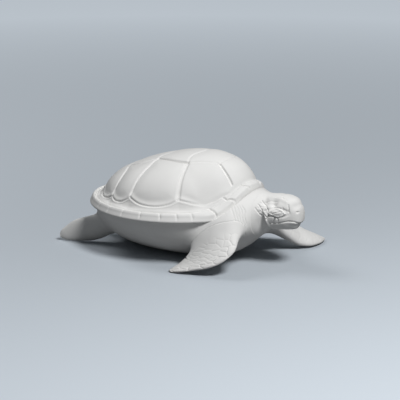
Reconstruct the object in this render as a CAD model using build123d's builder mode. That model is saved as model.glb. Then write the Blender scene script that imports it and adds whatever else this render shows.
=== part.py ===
# Turtle figurine in white bisque porcelain: eight slip castings luted together.
# Forward is +X, the turtle's left is +Y, up is +Z. The origin is the centre of the belly's flat foot.

import math
import os

from build123d import *
from scipy.interpolate import PchipInterpolator

os.makedirs("parts", exist_ok=True)

# Driving sizes, in millimetres and degrees

shell_front = 84.5
shell_rear = 89.0
shell_half_width = 74.0
shell_height = 93.5
wall = 4.0
lute_gap = 0.2

# Carapace: its rim, the arch that the rim makes over the neck, and the dome

rim_height = 43.8
rim_sheer = 2.5
rear_taper_share = 0.12
neck_arch_rise = 20.5
neck_arch_half_angle = 41.0
neck_arch_spread = 35.0
neck_arch_power = 1.15
rim_face = 2.0
rim_face_extra_over_neck = 2.5
band_rise = 6.5
band_drop_over_neck = 2.5
crown_lean = 19.0
band_start_share = 0.93
cavity_share = 0.86
dome_reach_shares = (0, 0.15, 0.3, 0.45, 0.6, 0.7, 0.77, 0.81, 0.83, 0.845, 0.87, 0.90, 0.93)
dome_rise_shares = (1, 0.987, 0.945, 0.86, 0.715, 0.56, 0.40, 0.26, 0.165, 0.10, 0.04, 0.012, 0)
front_rise_shares = (1, 0.99, 0.952, 0.89, 0.79, 0.71, 0.62, 0.55, 0.51, 0.47, 0.38, 0.23, 0)
surface_step = 3.0
surface_margin = 4.0
surface_tolerance = 0.5
plan_points = 48

# Scutes: the seams between them as shares of the shell's length and half width, on one side, and their
# lower edges as bearings in degrees with shares of the way to the rim

seam_width = 2.4
scute_edge_width = 1.8
seam_depth = 1.5
spine_seam_shares = (
    (0.88, 0.316),
    (0.65, 0.218),
    (0.33, 0.361),
    (0.13, 0.359),
    (-0.09, 0.282),
    (-0.28, 0.327),
    (-0.472, 0.25),
    (-0.65, 0.25),
    (-0.84, 0.21),
)
cross_seam_shares = (
    ((0.65, 0.218), (0.69, 0)),
    ((0.33, 0.361), (0.31, 0.226), (0.36, 0)),
    ((-0.09, 0.282), (-0.10, 0.162), (-0.067, 0)),
    ((-0.472, 0.25), (-0.46, 0)),
)
flank_seam_shares = (
    ((0.33, 0.361), (0.406, 0.716)),
    ((-0.09, 0.282), (-0.134, 0.63), (-0.155, 0.80)),
    ((-0.472, 0.25), (-0.422, 0.54), (-0.44, 0.69)),
    ((-0.74, 0.23), (-0.78, 0.385)),
)
flank_scute_edges = (
    ((34, 0.84), (47, 0.852), (60.4, 0.823)),
    ((60.4, 0.823), (81, 0.853), (101, 0.815)),
    ((101, 0.815), (111.5, 0.846), (121.9, 0.826)),
    ((121.9, 0.826), (136.5, 0.855), (151, 0.825)),
)
rear_scute_edge = ((151, 0.825), (180, 0.857), (-151, 0.825))

# Body: levels above the table with the reach of the hull to the rear, the front and each side

hull_level_shares = (0, 0.058, 0.139, 0.255, 0.417, 0.648, 0.926, 1.2, 1.85)
hull_rear_shares = (0.45, 0.56, 0.66, 0.747, 0.826, 0.888, 0.921, 0.921, 0.921)
hull_front_shares = (0.475, 0.64, 0.757, 0.864, 0.947, 0.97, 0.947, 0.94, 0.935)
hull_side_shares = (0.162, 0.297, 0.419, 0.554, 0.689, 0.811, 0.905, 0.919, 0.919)
hull_sections = 16
oval_points = 12
vent_radius = 4.0
vent_place = -20.0

# Chest, neck and head: places along the length with the middle height, half height and half width

beak_reach = 133.2
neck_seam = 92.0
head_height = 51.0
head_half_height = 16.5
head_half_width = 16.5
chest_shares = (
    (0.30, 0.843, 1.697, 2.6),
    (0.48, 0.843, 1.697, 2.6),
    (0.571, 0.863, 1.606, 2.364),
    (0.638, 0.882, 1.424, 1.879),
)
neck_shares = (0.912, 1.242, 1.455)
head_shares = (
    (0.736, 0.951, 1.091, 1.152),
    (0.781, 0.98, 1.03, 1.03),
    (0.833, 1, 1, 1),
    (0.886, 1.01, 0.952, 0.897),
    (0.935, 1.01, 0.885, 0.727),
    (0.972, 0.99, 0.788, 0.545),
    (0.9925, 0.98, 0.576, 0.333),
    (1, 0.98, 0.15, 0.09),
)
hollow_stations = 4
spigot_length = 10.0
spigot_wall = 2.0

# Front flippers: leading edge, trailing edge and half thickness, as shares of the sizes above each table

flipper_sections = 14
right_flipper_forward = 92.8
right_flipper_outward = 72.0
right_flipper_height = 47.4
front_flipper_half_thickness = 10.4
right_flipper_shares = (
    ((0.84, 0.22, 0.93), (0.60, 0.30, 0.84), 0.95),
    ((0.92, 0.39, 0.86), (0.60, 0.50, 0.76), 0.9),
    ((0.975, 0.56, 0.70), (0.575, 0.615, 0.62), 0.68),
    ((1.0, 0.70, 0.52), (0.555, 0.68, 0.48), 0.5),
    ((0.94, 0.83, 0.34), (0.52, 0.735, 0.335), 0.36),
    ((0.81, 0.915, 0.20), (0.465, 0.785, 0.205), 0.29),
    ((0.64, 0.96, 0.11), (0.425, 0.86, 0.11), 0.22),
    ((0.50, 0.995, 0.05), (0.39, 0.93, 0.05), 0.15),
    ((0.42, 1.0, 0.025), (0.38, 0.975, 0.025), 0.075),
)
left_flipper_forward = 111.7
left_flipper_outward = 93.8
left_flipper_height = 37.9
left_flipper_shares = (
    ((0.75, 0.22, 1.0), (0.475, 0.30, 1.0), 0.91),
    ((0.83, 0.34, 0.65), (0.525, 0.485, 0.90), 0.91),
    ((0.88, 0.465, 0.325), (0.645, 0.605, 0.75), 0.73),
    ((0.93, 0.575, 0.125), (0.745, 0.705, 0.55), 0.55),
    ((0.985, 0.685, 0.075), (0.815, 0.81, 0.35), 0.41),
    ((1.0, 0.81, 0.0625), (0.88, 0.91, 0.20), 0.27),
    ((0.987, 0.92, 0.05), (0.925, 0.97, 0.10), 0.16),
    ((0.966, 0.99, 0.0375), (0.95, 1.0, 0.045), 0.075),
)

# Hind flippers, written the same way; both have one shape

hind_flipper_rearward = 107.5
hind_flipper_outward = 42.1
hind_flipper_height = 32.2
hind_flipper_half_thickness = 8.5
hind_flipper_shares = (
    ((-0.565, 0.45, 0.35), (-0.53, 0.675, 1.0), 1),
    ((-0.67, 0.585, 0.12), (-0.635, 0.81, 0.94), 0.67),
    ((-0.765, 0.70, 0.03), (-0.75, 0.855, 0.82), 0.44),
    ((-0.855, 0.81, 0.015), (-0.855, 0.90, 0.69), 0.33),
    ((-0.943, 0.90, 0.025), (-0.934, 0.945, 0.50), 0.27),
    ((-0.987, 0.955, 0.075), (-0.987, 0.99, 0.32), 0.16),
    ((-1.0, 0.99, 0.12), (-1.0, 1.0, 0.21), 0.07),
)

# Tail: places behind the origin with the middle height, half height and half width

tail_reach = 90.0
tail_height = 24.0
tail_half_height = 5.0
tail_half_width = 7.0
tail_shares = ((0.78, 1, 1, 1), (0.87, 0.875, 0.8, 0.786), (0.955, 0.71, 0.52, 0.5), (1, 0.6, 0.12, 0.12))

# Round roots on the limbs and the tail, and the sockets that they enter

socket_clearance = 0.2
root_inside = 8.0
root_outside = 5.0
front_root_radius = 5.0
hind_root_radius = 4.0
tail_root_radius = 3.0
right_root_shares = (0.70, 0.5625, 0.74)
right_root_heading = -41.0
left_root_shares = (0.636, 0.40, 0.90)
left_root_heading = 38.0
hind_root_shares = (-0.595, 0.63, 0.62)
hind_root_heading = 153.0

dome_rise_at = PchipInterpolator(dome_reach_shares, dome_rise_shares)
front_rise_at = PchipInterpolator(dome_reach_shares, front_rise_shares)


def rim_half_width(along):
    """Half width of the shell where the place along its length is a share of its half length."""
    return shell_half_width * (1 - rear_taper_share * along * along * (along < 0))


def rim_place(x, y):
    """How far out a place lies as a share of the way to the rim, and its bearing in degrees."""
    along = x / (shell_front if x > 0 else shell_rear)
    across = y / rim_half_width(max(along, -1))
    return math.hypot(along, across), math.degrees(math.atan2(across, along))


def over_neck(bearing, half_angle=neck_arch_half_angle):
    """One at the middle of the neck arch, falling smoothly to nothing at its feet."""
    turn = min(abs(bearing) / half_angle, 1)
    return math.cos(math.pi / 2 * turn**neck_arch_power) ** 2


def underside(x, y):
    """Height of the rim's underside, which is also where the body's top edge ends."""
    reach, bearing = rim_place(x, y)
    along = math.cos(math.radians(bearing))
    return rim_height + reach * (rim_sheer * along + neck_arch_rise * over_neck(bearing))


def shell_top(x, y):
    """Height of the carapace's outer surface."""
    reach, bearing = rim_place(x, y)
    inward = max(1 - reach / band_start_share, 0)
    lift = over_neck(bearing, neck_arch_half_angle + neck_arch_spread * inward)
    along = math.cos(math.radians(bearing))
    band = band_rise - band_drop_over_neck * lift
    edge = rim_height + rim_sheer * along + neck_arch_rise * lift
    edge += rim_face + rim_face_extra_over_neck * lift
    if reach > band_start_share:
        out = (reach - band_start_share) / (1 - band_start_share)
        return edge + band * (1 - out * out if out < 1 else 2 / out - 2)
    rise = dome_rise_at(reach) * (1 - lift) + front_rise_at(reach) * lift
    crown = crown_lean * reach * along * (1 - (reach / band_start_share) ** 2)
    return edge + band + (shell_height - edge - band) * float(rise) + crown


def shell_inside(x, y):
    """Height of the carapace's inner surface, one wall inside the outer one."""
    swell = shell_half_width / (shell_half_width - wall)
    return shell_top(x * swell, y * swell) - wall


def surface(height_at, lowered=0):
    """A smooth face through heights taken on an even grid over the whole shell."""
    front = shell_front + surface_margin
    rear = shell_rear + surface_margin
    side = shell_half_width + surface_margin
    rows = math.ceil((front + rear) / surface_step)
    columns = math.ceil(2 * side / surface_step)
    grid = []
    for row in range(rows + 1):
        x = (front + rear) * row / rows - rear
        places = [2 * side * column / columns - side for column in range(columns + 1)]
        grid.append([Vector(x, y, height_at(x, y) - lowered) for y in places])
    return Face.make_surface_from_array_of_points(grid, tol=surface_tolerance, min_deg=3, max_deg=3)


def rim_point(bearing, reach=1, grow=0):
    """The place seen from above at a bearing in degrees and a share of the way to the rim."""
    along, across = math.cos(math.radians(bearing)), math.sin(math.radians(bearing))
    length = shell_front if along > 0 else shell_rear
    return (along * (reach * length + grow), across * (reach * rim_half_width(along * reach) + grow))


def shell_plan(reach, grow=0):
    """The shell's outline seen from above."""
    bearings = [360 * place / plan_points for place in range(plan_points)]
    with BuildSketch() as plan:
        with BuildLine():
            Spline([rim_point(bearing, reach, grow) for bearing in bearings], periodic=True)
        make_face()
    return plan.sketch


def seam_place(shares, side):
    """A seam's place seen from above, on the turtle's left or right side."""
    along, across = shares
    return (along * (shell_front if along > 0 else shell_rear), side * across * shell_half_width)


def scute_edge(edge, side):
    """The lower edge of one scute, seen from above."""
    return [rim_point(side * bearing, reach) for bearing, reach in edge]


def oval(half_across, half_up, middle_across=0, middle_up=0):
    """A closed oval that always starts at the same bearing, so that lofts don't twist."""
    turns = [2 * math.pi * place / oval_points for place in range(oval_points)]
    points = [
        (middle_across + half_across * math.cos(turn), middle_up + half_up * math.sin(turn)) for turn in turns
    ]
    with BuildSketch() as shape:
        with BuildLine():
            Spline(points, periodic=True)
        make_face()
    return shape.sketch


def evenly(table, count):
    """Rows of a table at even steps from its first row to its last, smoothly in between."""
    row_at = PchipInterpolator(range(len(table)), table)
    return [row_at((len(table) - 1) * place / (count - 1)) for place in range(count)]


def hull(grow=0, raised=0):
    """The hull as a solid, swollen or shrunk all round, and raised where it is a cavity."""
    table = list(zip(hull_level_shares, hull_rear_shares, hull_front_shares, hull_side_shares))
    with BuildPart() as solid:
        for level, rear, front, side in evenly(table, hull_sections):
            rear_reach, front_reach = rear * shell_rear, front * shell_front
            half_length = (front_reach + rear_reach) / 2 + grow
            with BuildSketch(Plane.XY.offset(level * rim_height + raised)):
                add(oval(half_length, side * shell_half_width + grow, (front_reach - rear_reach) / 2))
        loft(ruled=True)
    return solid.part


def neck_loft(stations, grow=0):
    """A loft through ovals square to the length, each given by shares of the head's sizes."""
    with BuildPart() as solid:
        for place, middle, half_height, half_width in stations:
            half_across = half_width * head_half_width + grow
            half_up = half_height * head_half_height + grow
            with BuildSketch(Plane.YZ.offset(place * beak_reach)):
                add(oval(half_across, half_up, 0, middle * head_height))
        loft()
    return solid.part


def scaled(shares, sizes, side=1):
    """A place from its shares of the forward, outward and upward sizes, on one side."""
    return Vector(shares[0] * sizes[0], side * shares[1] * sizes[1], shares[2] * sizes[2])


def flipper_loft(rows, sizes, side, half_thickness):
    """Ruled faces through thin ovals, each set from its leading edge to its trailing edge."""
    table = [(*leading, *trailing, thickness) for leading, trailing, thickness in rows]
    sections = []
    for row in evenly(table, flipper_sections):
        front, back = scaled(row[:3], sizes, side), scaled(row[3:6], sizes, side)
        sections.append(((front + back) / 2, (front - back) / 2, row[6] * half_thickness))
    outlines = []
    for number, (middle, chord, thickness) in enumerate(sections):
        before = sections[max(number - 1, 0)][0]
        after = sections[min(number + 1, len(sections) - 1)][0]
        square = chord.cross(after - before)
        plane = Plane(origin=middle, x_dir=chord, z_dir=square.cross(chord))
        outlines.append(plane.from_local_coords(oval(chord.length, thickness)).edges()[0])
    skin = [Face.make_surface_from_curves(one, other) for one, other in zip(outlines, outlines[1:])]
    skin += [Face(Wire(outlines[0])), Face(Wire(outlines[-1]))]
    with BuildPart() as solid:
        add(Solid(Shell(skin)))
        split(bisect_by=Plane.XY, keep=Keep.TOP)
    return solid.part


def root(place, heading, radius):
    """A level round root that runs from inside the body's wall to inside the limb."""
    facing = Plane(origin=place, z_dir=Vector(1, 0, 0).rotate(Axis.Z, heading))
    with BuildPart() as solid:
        with BuildSketch(facing.offset(-root_inside)):
            Circle(radius)
        extrude(amount=root_inside + root_outside)
    return solid.part


# Where each root stands, which way it faces and how thick it is

right_sizes = (right_flipper_forward, right_flipper_outward, right_flipper_height)
left_sizes = (left_flipper_forward, left_flipper_outward, left_flipper_height)
hind_sizes = (hind_flipper_rearward, hind_flipper_outward, hind_flipper_height)
tail_root_place = Vector(-tail_shares[1][0] * tail_reach, 0, tail_shares[1][1] * tail_height)
front_right_root = (scaled(right_root_shares, right_sizes, -1), right_root_heading, front_root_radius)
front_left_root = (scaled(left_root_shares, left_sizes), left_root_heading, front_root_radius)
hind_right_root = (scaled(hind_root_shares, hind_sizes, -1), -hind_root_heading, hind_root_radius)
hind_left_root = (scaled(hind_root_shares, hind_sizes), hind_root_heading, hind_root_radius)
tail_root = (tail_root_place, 180, tail_root_radius)
roots = (front_right_root, front_left_root, hind_right_root, hind_left_root, tail_root)

neck_station = (neck_seam / beak_reach, *neck_shares)
chest_stations = (*chest_shares, neck_station)
head_stations = (neck_station, *head_shares)

# Carapace: domed shell with a solid rim

with BuildPart() as above_rim:
    extrude(surface(underside, lute_gap), amount=2 * shell_height, dir=(0, 0, 1))
    extrude(shell_plan(1, lute_gap), amount=2 * shell_height, mode=Mode.INTERSECT)

with BuildPart() as below_rim:
    extrude(surface(underside), amount=2 * shell_height, dir=(0, 0, -1))

with BuildPart() as cavity:
    extrude(surface(shell_inside), amount=2 * shell_height, dir=(0, 0, -1))
    extrude(shell_plan(cavity_share), amount=2 * shell_height, mode=Mode.INTERSECT)

with BuildSketch() as seam_plan:
    for side in (1, -1):
        for seam in (spine_seam_shares, *cross_seam_shares, *flank_seam_shares):
            with BuildLine() as seam_line:
                Polyline([seam_place(shares, side) for shares in seam])
            trace(seam_line.edges(), line_width=seam_width)
        for edge in flank_scute_edges:
            with BuildLine() as edge_line:
                ThreePointArc(*scute_edge(edge, side))
            trace(edge_line.edges(), line_width=scute_edge_width)
    with BuildLine() as rear_line:
        ThreePointArc(*scute_edge(rear_scute_edge, 1))
    trace(rear_line.edges(), line_width=scute_edge_width)

with BuildPart() as seams:
    extrude(seam_plan.sketch, amount=2 * shell_height)
    extrude(surface(shell_top, seam_depth), amount=2 * shell_height, dir=(0, 0, 1), mode=Mode.INTERSECT)

with BuildPart() as carapace:
    extrude(surface(shell_top), amount=2 * shell_height, dir=(0, 0, -1))
    extrude(shell_plan(1), amount=2 * shell_height, mode=Mode.INTERSECT)
    add(below_rim.part, mode=Mode.SUBTRACT)
    add(cavity.part, mode=Mode.SUBTRACT)
    add(seams.part, mode=Mode.SUBTRACT)
carapace.part.label = "carapace"
export_step(carapace.part, "parts/carapace.step")

# Body: hull and chest in one shell, open on top, with a neck opening, sockets and a vent

with BuildPart() as body:
    add(hull())
    add(neck_loft(chest_stations))
    add(above_rim.part, mode=Mode.SUBTRACT)
    add(hull(-wall, wall), mode=Mode.SUBTRACT)
    add(neck_loft(chest_stations, -wall), mode=Mode.SUBTRACT)
    for place, heading, radius in roots:
        add(root(place, heading, radius + socket_clearance), mode=Mode.SUBTRACT)
    with BuildSketch():
        with Locations((vent_place, 0)):
            Circle(vent_radius)
    extrude(amount=2 * wall, mode=Mode.SUBTRACT)
body.part.label = "body"
export_step(body.part, "parts/body.step")

# Head and neck: hollow, with a spigot that enters the body's neck opening

with BuildPart() as head_and_neck:
    add(neck_loft(head_stations))
    spigot_half_width = neck_shares[2] * head_half_width - wall - lute_gap
    spigot_half_height = neck_shares[1] * head_half_height - wall - lute_gap
    with BuildSketch(Plane.YZ.offset(neck_seam)):
        add(oval(spigot_half_width, spigot_half_height, 0, neck_shares[0] * head_height))
    extrude(amount=-spigot_length)
    bore_half_width = spigot_half_width - spigot_wall
    bore_half_height = spigot_half_height - spigot_wall
    with BuildSketch(Plane.YZ.offset(neck_seam)):
        add(oval(bore_half_width, bore_half_height, 0, neck_shares[0] * head_height))
    extrude(amount=-spigot_length, mode=Mode.SUBTRACT)
    add(neck_loft(head_stations[:hollow_stations], -wall - lute_gap - spigot_wall), mode=Mode.SUBTRACT)
head_and_neck.part.label = "head_and_neck"
export_step(head_and_neck.part, "parts/head_and_neck.step")


def limb(blade, limb_root):
    """A blade or tail that sits on the body, with its round root."""
    with BuildPart() as solid:
        add(blade)
        add(hull(lute_gap), mode=Mode.SUBTRACT)
        add(neck_loft(chest_stations, lute_gap), mode=Mode.SUBTRACT)
        add(above_rim.part, mode=Mode.SUBTRACT)
        add(root(*limb_root))
    return solid


# Flippers: four blades, each with its round root

front_right_blade = flipper_loft(right_flipper_shares, right_sizes, -1, front_flipper_half_thickness)
front_flipper_right = limb(front_right_blade, front_right_root)
front_flipper_right.part.label = "front_flipper_right"
export_step(front_flipper_right.part, "parts/front_flipper_right.step")

front_left_blade = flipper_loft(left_flipper_shares, left_sizes, 1, front_flipper_half_thickness)
front_flipper_left = limb(front_left_blade, front_left_root)
front_flipper_left.part.label = "front_flipper_left"
export_step(front_flipper_left.part, "parts/front_flipper_left.step")

hind_right_blade = flipper_loft(hind_flipper_shares, hind_sizes, -1, hind_flipper_half_thickness)
hind_flipper_right = limb(hind_right_blade, hind_right_root)
hind_flipper_right.part.label = "hind_flipper_right"
export_step(hind_flipper_right.part, "parts/hind_flipper_right.step")

hind_left_blade = flipper_loft(hind_flipper_shares, hind_sizes, 1, hind_flipper_half_thickness)
hind_flipper_left = limb(hind_left_blade, hind_left_root)
hind_flipper_left.part.label = "hind_flipper_left"
export_step(hind_flipper_left.part, "parts/hind_flipper_left.step")

# Tail: a short cone with its own root

with BuildPart() as tail_cone:
    for place, middle, half_height, half_width in tail_shares:
        with BuildSketch(Plane.YZ.offset(-place * tail_reach)):
            add(oval(half_width * tail_half_width, half_height * tail_half_height, 0, middle * tail_height))
    loft()

tail = limb(tail_cone.part, tail_root)
tail.part.label = "tail"
export_step(tail.part, "parts/tail.step")
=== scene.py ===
import math

import bpy
import numpy as np
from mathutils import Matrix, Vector
from mathutils.bvhtree import BVHTree


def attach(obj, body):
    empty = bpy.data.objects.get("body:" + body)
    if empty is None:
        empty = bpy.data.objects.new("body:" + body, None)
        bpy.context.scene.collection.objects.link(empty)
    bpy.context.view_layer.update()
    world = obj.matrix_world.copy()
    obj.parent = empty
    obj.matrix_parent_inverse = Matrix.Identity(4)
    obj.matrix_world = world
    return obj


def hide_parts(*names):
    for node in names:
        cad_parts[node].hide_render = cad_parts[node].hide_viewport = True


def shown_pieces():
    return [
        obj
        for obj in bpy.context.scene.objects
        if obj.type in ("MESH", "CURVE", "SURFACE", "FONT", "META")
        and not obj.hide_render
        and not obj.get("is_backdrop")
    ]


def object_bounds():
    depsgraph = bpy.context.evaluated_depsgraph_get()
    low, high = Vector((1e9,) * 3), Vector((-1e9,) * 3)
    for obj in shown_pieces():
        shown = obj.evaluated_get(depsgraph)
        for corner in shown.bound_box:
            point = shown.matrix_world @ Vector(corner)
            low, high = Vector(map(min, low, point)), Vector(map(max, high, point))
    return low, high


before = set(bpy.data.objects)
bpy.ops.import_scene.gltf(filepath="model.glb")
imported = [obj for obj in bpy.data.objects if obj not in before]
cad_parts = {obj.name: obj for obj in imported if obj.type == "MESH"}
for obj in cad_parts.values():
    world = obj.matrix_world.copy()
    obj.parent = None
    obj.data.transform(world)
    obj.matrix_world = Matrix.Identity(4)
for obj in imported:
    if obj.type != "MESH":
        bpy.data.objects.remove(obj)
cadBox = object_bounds()
print("frame loaded:", ", ".join(sorted(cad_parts)))

mm = 0.001  # every size below is in millimetres
farAway = 99.0  # stands for no distance worth working out
cellLimit = 8000000  # distances worked out at once, to spare memory


# Tables, masks and distances


def hermite(t, step, low, high, lowSlope, highSlope):
    # the cubic between two places a step apart, from their values and slopes
    value = (2 * t**3 - 3 * t**2 + 1) * low + (t**3 - 2 * t**2 + t) * step * lowSlope
    return value + ((3 * t**2 - 2 * t**3) * high + (t**3 - t**2) * step * highSlope)


def smoothTable(places, values):
    # monotone cubic through a table, as a function of place
    xs, ys = np.asarray(places, float), np.asarray(values, float)
    ys = ys.reshape(len(xs), -1)
    step = np.diff(xs)[:, None]
    rise = np.diff(ys, axis=0) / step
    slope = np.zeros_like(ys)
    before, after = 2 * step[1:] + step[:-1], step[1:] + 2 * step[:-1]
    with np.errstate(divide="ignore", invalid="ignore"):
        mean = (before + after) / (before / rise[:-1] + after / rise[1:])
    slope[1:-1] = np.where(rise[:-1] * rise[1:] > 0, mean, 0)
    slope[0], slope[-1] = rise[0], rise[-1]

    def lookUp(place):
        place = np.clip(place, xs[0], xs[-1])
        k = np.clip(np.searchsorted(xs, place, side="right") - 1, 0, len(xs) - 2)
        t = ((place - xs[k]) / step[k, 0])[..., None]
        value = hermite(t, step[k], ys[k], ys[k + 1], slope[k], slope[k + 1])
        return value[..., 0] if value.shape[-1] == 1 else value

    return lookUp


def ease(low, high, value):
    # rises smoothly from 0 at low to 1 at high
    t = np.clip((value - low) / (high - low), 0, 1)
    return t * t * (3 - 2 * t)


def bell(value, width):
    return np.exp(-((value / width) ** 2))


def trough(value, width):
    # a bell with a flat middle and steep sides
    return np.exp(-((value / width) ** 4))


def distanceTo(points, curve, reach=8.0):
    # distance from each point to a curve's samples, worked out only near the curve
    curve = np.asarray(curve, float)
    near = np.all((points > curve.min(0) - reach) & (points < curve.max(0) + reach), axis=1)
    found = np.full(len(points), farAway)
    index = np.nonzero(near)[0]
    for part in np.array_split(index, len(index) * len(curve) // cellLimit + 1):
        gap = points[part][:, None, :] - curve[None, :, :]
        found[part] = np.sqrt(np.einsum("ijk,ijk->ij", gap, gap).min(1))
    return found


def sampled(corners, step=0.4):
    # even samples along a smooth line through a few corners
    corners = np.asarray(corners, float)
    length = np.concatenate([[0], np.cumsum(np.linalg.norm(np.diff(corners, axis=0), axis=1))])
    count = max(int(length[-1] / step), 2)
    if len(corners) == 2:
        return corners[0] + (corners[1] - corners[0]) * np.linspace(0, 1, count)[:, None]
    tangent = np.gradient(corners, length, axis=0)
    place = np.linspace(0, length[-1], count)
    k = np.clip(np.searchsorted(length, place, side="right") - 1, 0, len(corners) - 2)
    gap = (length[k + 1] - length[k])[:, None]
    t = (place - length[k])[:, None] / gap
    return hermite(t, gap, corners[k], corners[k + 1], tangent[k], tangent[k + 1])


# Meshes


def normalsOf(points, quads):
    across = np.cross(points[quads[:, 2]] - points[quads[:, 0]], points[quads[:, 3]] - points[quads[:, 1]])
    normal = np.zeros_like(points)
    for corner in range(4):
        np.add.at(normal, quads[:, corner], across)
    return normal / np.maximum(np.linalg.norm(normal, axis=1, keepdims=True), 1e-9)


def gridQuads(rows, columns, closed=False, first=0):
    # faces of a grid whose points run along a row first; closed joins each row's two ends
    wide = columns if closed else columns - 1
    r, c = np.meshgrid(np.arange(rows - 1), np.arange(wide), indexing="ij")
    n = (c + 1) % columns
    corners = [r * columns + c, r * columns + n, (r + 1) * columns + n, (r + 1) * columns + c]
    return np.stack([corner.ravel() for corner in corners], 1) + first


def makePiece(name, node, points, quads, caps=()):
    # a closed mesh in metres that stands for one casting, and stays inside the solids' box
    low, high = np.array(cadBox) / mm
    points = np.clip(points, low, high)
    mesh = bpy.data.meshes.new(name)
    faces = [tuple(int(i) for i in face) for face in quads] + [tuple(int(i) for i in cap) for cap in caps]
    mesh.from_pydata((points * mm).tolist(), [], faces)
    mesh.validate()
    mesh.polygons.foreach_set("use_smooth", [True] * len(mesh.polygons))
    mesh.update()
    piece = bpy.data.objects.new(name, mesh)
    bpy.context.collection.objects.link(piece)
    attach(piece, "root")
    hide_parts(node)
    print("made", name, "with", len(mesh.polygons), "faces")
    return piece


# Carapace

shell = {
    "front": 84.5,
    "rear": 89.0,
    "halfWidth": 74.0,
    "height": 93.5,
    "rimHeight": 43.8,
    "rimSheer": 2.5,
    "rearTaper": 0.12,
    "archRise": 20.5,
    "archHalfAngle": 41.0,
    "archSpread": 35.0,
    "archPower": 1.15,
    "rimFace": 2.0,
    "rimFaceOverNeck": 2.5,
    "bandRise": 6.5,
    "bandDropOverNeck": 2.5,
    "crownLean": 19.0,
    "bandStart": 0.93,
    "cavity": 0.86,
    "wall": 4.0,
    "reachTable": (0, 0.15, 0.3, 0.45, 0.6, 0.7, 0.77, 0.81, 0.83, 0.845, 0.87, 0.90, 0.93),
    "domeTable": (1, 0.987, 0.945, 0.86, 0.715, 0.56, 0.40, 0.26, 0.165, 0.10, 0.04, 0.012, 0),
    "frontTable": (1, 0.99, 0.952, 0.89, 0.79, 0.71, 0.62, 0.55, 0.51, 0.47, 0.38, 0.23, 0),
    "edgeRound": 0.9,
    # the rim's outer face from its top: share of the edge's rounding, and share of the face's height
    "rimProfile": ((0.3, 1.0), (0.0, 0.72), (0.0, 0.5), (0.0, 0.28), (0.3, 0.06), (1.0, 0.0)),
    "undersideReach": 0.95,
    "hollowReaches": (0.86, 0.82, 0.74, 0.6, 0.4, 0.2, 0.06),
    "hollowExtra": 1.0,
    "squareCells": 205,
    "squareReach": 0.78,
    "rings": 52,
}

# scute seams of the left half, mirrored to the right: width, depth, then places forward and to the side
seams = {
    "lines": (
        (1.1, 2.2, ((71.3, 20.5), (66.7, 19.6), (61.7, 18.6), (55, 16.1))),
        (1.1, 0.6, ((55, 16.1), (41, 21.6), (28, 26.7))),
        (1.3, 2.5, ((28, 26.7), (19, 27.4), (11.3, 26.6), (1, 24), (-8, 20.9))),
        (1.1, 0.8, ((-8, 20.9), (-16, 23.2), (-25, 24.2), (-34, 22), (-42, 18.5))),
        (1.1, 0.8, ((-42, 18.5), (-50, 19.5), (-58, 18.5), (-66, 15), (-75, 15.5))),
        (1.2, 0.6, ((55, 16.1), (56.7, 8.3), (58.2, 0))),
        (1.2, 0.6, ((28, 26.7), (26.2, 16.7), (29.4, 6), (30.4, 0))),
        (1.2, 0.6, ((-8, 20.9), (-9, 12), (-6.5, 4.5), (-6, 0))),
        (1.2, 0.6, ((-42, 18.5), (-43, 9), (-41, 0))),
        (1.9, 1.5, ((28, 26.7), (29.5, 36), (31.5, 45), (34.3, 53))),
        (1.2, 1.15, ((-8, 20.9), (-9.5, 34), (-11.9, 46.6), (-13.8, 59.1))),
        (1.2, 1.15, ((-42, 18.5), (-38.5, 29), (-37.6, 40), (-39.1, 51))),
        (1.2, 1.15, ((-66, 15), (-67, 22), (-69.5, 28.5))),
    ),
    "search": 20.0,
    "flankPillow": 1.0,
    "spinePillow": 0.3,
    "pillowWidth": 7.0,
    "flankFrom": 24.0,
    "flankTo": 36.0,
    "flankForward": 0.25,
}

# lower edges of the flank scutes: bearing and reach of each foot, and how far each edge swells out between
skirt = {
    "feet": ((20.5, 0.924), (60.4, 0.823), (101.0, 0.815), (121.9, 0.826), (151.0, 0.825), (209.0, 0.825)),
    "swell": (-0.012, 0.034, 0.026, 0.03, 0.032),
    "samples": 1500,
    "softness": 0.6,
    "step": 1.5,
    "stepWidth": 3.0,
    "undercut": 0.9,
    "undercutPlace": 0.3,
    "undercutWidth": 0.75,
    "lip": 0.55,
    "lipPlace": 1.9,
    "lipWidth": 1.0,
    "fadeFrom": 34.0,
    "fadeTo": 56.0,
}

# marginal band: its upper groove, its dividers by bearing at the groove and at the rim, its border
band = {
    "grooveBearings": (0, 10.8, 20, 27, 33, 38.5, 46, 55, 70, 180),
    "grooveReach": (0.94, 0.927, 0.915, 0.907, 0.903, 0.91, 0.926, 0.938, 0.942, 0.942),
    "grooveWidth": 0.8,
    "grooveDepth": 0.85,
    "grooveShares": (0.3, 0.7),
    "frontPlateau": 0.7,
    "plateauRise": (-0.2, 0.9),
    "plateauEnd": 0.975,
    "frontLip": 0.45,
    "lipReach": 0.982,
    "lipWidth": 0.9,
    "ridge": 0.905,
    "ridgeWidth": 1.5,
    "ridgeHeight": 0.5,
    "ledgeDepth": 2.8,
    "ledgeSink": (0.3, 0.95),
    "ledgeEnd": (-0.9, 0.1),
    "dividers": ((10.8, 6.7), (27, 20.5), (38.4, 35), (52, 51), (62, 61), (73, 72), (86, 86), (99, 100),
                 (112, 113), (125, 126), (138, 139), (151, 152), (165, 165), (180, 180)),
    "dividerSamples": 40,
    "dividerSearch": 4.0,
    "dividerWidth": 0.75,
    "dividerDepth": 1.7,
    "dividerStart": (-1.0, 0.4),
    "dividerSoftness": 0.55,
    "dividerSoftTurns": (40, 52),
    "border": 0.986,
    "borderWidth": 0.7,
    "borderDepth": 0.35,
}

grooveReach = smoothTable(band["grooveBearings"], band["grooveReach"])
domeRise = smoothTable(shell["reachTable"], shell["domeTable"])
frontRise = smoothTable(shell["reachTable"], shell["frontTable"])


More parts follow.
